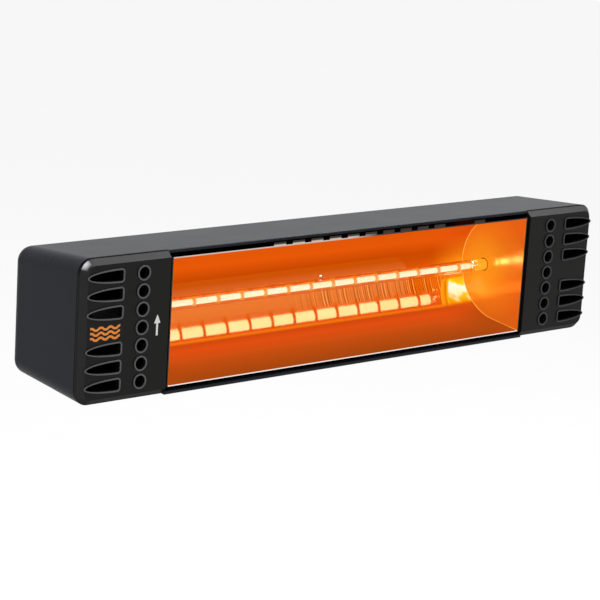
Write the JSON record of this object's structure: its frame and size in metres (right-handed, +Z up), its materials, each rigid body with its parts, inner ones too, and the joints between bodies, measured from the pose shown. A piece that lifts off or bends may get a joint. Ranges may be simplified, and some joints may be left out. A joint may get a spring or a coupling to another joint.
{
  "type": "infrared heater",
  "caption": "Wall-mounted infrared heater: anthracite housing, black vented end covers, curved reflector, glowing tube lamp and tilting bracket.",
  "frame": {"origin": "centre of the wall bracket's face against the wall", "axes": "+X along the heater, to the right seen from the front; +Y into the wall; +Z up"},
  "size_m": [0.4875, 0.1283, 0.0969],
  "materials": {
    "powder_coat": "satin anthracite powder coat",
    "cover_plastic": "fine-grained black",
    "bright_aluminium": "polished",
    "quartz": "clear",
    "glowing_tungsten": "white-hot",
    "tungsten": "drawn wire",
    "ceramic": "unglazed cream",
    "nickel": "nickel plated",
    "spring_steel": "bright wire",
    "zinc_steel": "zinc plated",
    "lead_insulation": "silicone sleeve",
    "earth_insulation": "green and yellow sleeve",
    "rubber": "matt",
    "terminal_plastic": "natural",
    "brass": "machined",
    "black_plastic": "moulded"
  },
  "bodies": {
    "wall_bracket": {"wall_bracket": "powder_coat"},
    "heater": {"cover_screws": "zinc_steel", "earth_lead": "earth_insulation", "earth_nuts": "zinc_steel", "earth_screw": "zinc_steel", "earth_tag": "nickel", "end_plate_screws": "zinc_steel", "filament_supports": "tungsten", "friction_washers": "terminal_plastic", "gland_body": "black_plastic", "gland_cap": "black_plastic", "gland_locknut": "black_plastic", "gland_seal": "rubber", "guide_bolts": "zinc_steel", "holder_bracket_screws": "zinc_steel", "holder_screws": "zinc_steel", "holder_tabs": "nickel", "housing": "powder_coat", "knob_washers": "zinc_steel", "lamp_contacts": "nickel", "lamp_end_caps": "ceramic", "lamp_filament": "glowing_tungsten", "lamp_tube": "quartz", "lead_clips": "lead_insulation", "lead_grommets": "rubber", "left_contact_spring": "spring_steel", "left_cover": "cover_plastic", "left_end_plate": "bright_aluminium", "left_holder_bracket": "zinc_steel", "left_lampholder": "ceramic", "left_lead": "lead_insulation", "pivot_bolts": "zinc_steel", "pivot_nuts": "zinc_steel", "reflector": "bright_aluminium", "right_contact_spring": "spring_steel", "right_cover": "cover_plastic", "right_end_plate": "bright_aluminium", "right_holder_bracket": "zinc_steel", "right_lampholder": "ceramic", "right_lead": "lead_insulation", "terminal_barrels": "brass", "terminal_block": "terminal_plastic", "terminal_block_screws": "zinc_steel", "terminal_screws": "zinc_steel", "yoke": "powder_coat", "yoke_nuts": "zinc_steel", "yoke_screws": "zinc_steel"},
    "left_knob": {"left_knob": "black_plastic"},
    "right_knob": {"right_knob": "black_plastic"},
    "left_contact": {"left_contact_plunger": "nickel"},
    "right_contact": {"right_contact_plunger": "nickel"}
  },
  "joints": [
    {"name": "tilt", "type": "hinge", "parent": "wall_bracket", "child": "heater", "pos_m": [0, -0.025, 0], "axis": [1, 0, 0], "range_deg": [-10, 40]},
    {"name": "left_knob_turn", "type": "hinge", "parent": "heater", "child": "left_knob", "pos_m": [-0.089, -0.02034, 0.01739], "axis": [-1, 0, 0], "continuous": true},
    {"name": "right_knob_turn", "type": "hinge", "parent": "heater", "child": "right_knob", "pos_m": [0.089, -0.02034, 0.01739], "axis": [1, 0, 0], "continuous": true},
    {"name": "left_contact_press", "type": "slide", "parent": "heater", "child": "left_contact", "axis": [-1, 0, 0], "range_m": [0, 0.002], "stiffness_N_per_m": 3700, "springref_m": -0.001, "deforming": ["left_contact_spring"]},
    {"name": "right_contact_press", "type": "slide", "parent": "heater", "child": "right_contact", "axis": [1, 0, 0], "range_m": [0, 0.002], "stiffness_N_per_m": 3700, "springref_m": -0.001, "deforming": ["right_contact_spring"]}
  ]
}
